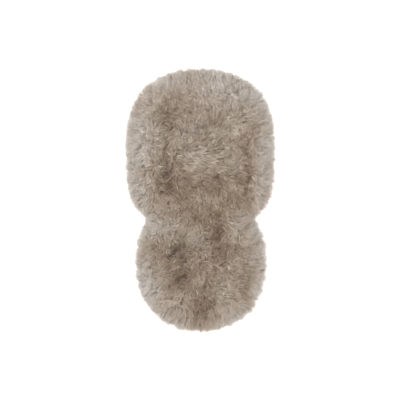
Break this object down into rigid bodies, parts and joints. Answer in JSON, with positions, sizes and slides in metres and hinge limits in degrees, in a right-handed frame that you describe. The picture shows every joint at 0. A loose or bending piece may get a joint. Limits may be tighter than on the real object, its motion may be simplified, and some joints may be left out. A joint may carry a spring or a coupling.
{
  "type": "sheepskin pushchair liner",
  "caption": "Long-wool sheepskin liner with a wide back lobe and a round seat lobe, folding at its sewn seams, with slots that pass a seat harness.",
  "frame": {"origin": "under the middle of the liner, on the surface it lies on", "axes": "+Z out of the wool, +Y towards the head end, +X to the right seen from above"},
  "size_m": [0.432, 0.76, 0.0378],
  "materials": {
    "wool": "long taupe merino pile with paler tips",
    "suede": "matte napped suede side of the hide",
    "facing_suede": "matte suede ring",
    "binding_tape": "herringbone cotton tape",
    "thread": "waxed polyester thread",
    "label_cloth": "blank woven ribbon"
  },
  "bodies": {
    "seat": {"seat_hide": "suede", "seat_pile": "wool", "seat_binding": "binding_tape", "lap_slot_facing_left": "facing_suede", "lap_slot_facing_right": "facing_suede", "crotch_slot_facing": "facing_suede", "waist_seam_tape": "binding_tape", "waist_seam_thread": "thread"},
    "front": {"front_hide": "suede", "front_pile": "wool", "front_binding": "binding_tape"},
    "back": {"back_hide": "suede", "back_pile": "wool", "back_binding": "binding_tape", "shoulder_slot_facing_lower_left": "facing_suede", "shoulder_slot_facing_lower_right": "facing_suede", "head_seam_tape": "binding_tape", "head_seam_thread": "thread", "wing_seam_tape_left": "binding_tape", "wing_seam_tape_right": "binding_tape", "wing_seam_thread_left": "thread", "wing_seam_thread_right": "thread", "care_label": "label_cloth"},
    "head": {"head_hide": "suede", "head_pile": "wool", "head_binding": "binding_tape", "shoulder_slot_facing_upper_left": "facing_suede", "shoulder_slot_facing_upper_right": "facing_suede"},
    "wing_left": {"wing_left_hide": "suede", "wing_left_pile": "wool", "wing_left_binding": "binding_tape"},
    "wing_right": {"wing_right_hide": "suede", "wing_right_pile": "wool", "wing_right_binding": "binding_tape"}
  },
  "joints": [
    {"name": "back_fold", "type": "hinge", "parent": "seat", "child": "back", "pos_m": [0, -0.051, 0.0018], "axis": [1, 0, 0], "range_deg": [0, 85]},
    {"name": "front_fold", "type": "hinge", "parent": "seat", "child": "front", "pos_m": [0, -0.3, 0.0018], "axis": [-1, 0, 0], "range_deg": [0, 60]},
    {"name": "head_fold", "type": "hinge", "parent": "back", "child": "head", "pos_m": [0, 0.172, 0.0018], "axis": [1, 0, 0], "range_deg": [0, 35]},
    {"name": "wing_left_fold", "type": "hinge", "parent": "back", "child": "wing_left", "pos_m": [-0.118, 0.06, 0.0018], "axis": [0, 1, 0], "range_deg": [0, 50]},
    {"name": "wing_right_fold", "type": "hinge", "parent": "back", "child": "wing_right", "pos_m": [0.118, 0.06, 0.0018], "axis": [0, -1, 0], "range_deg": [0, 50]}
  ]
}
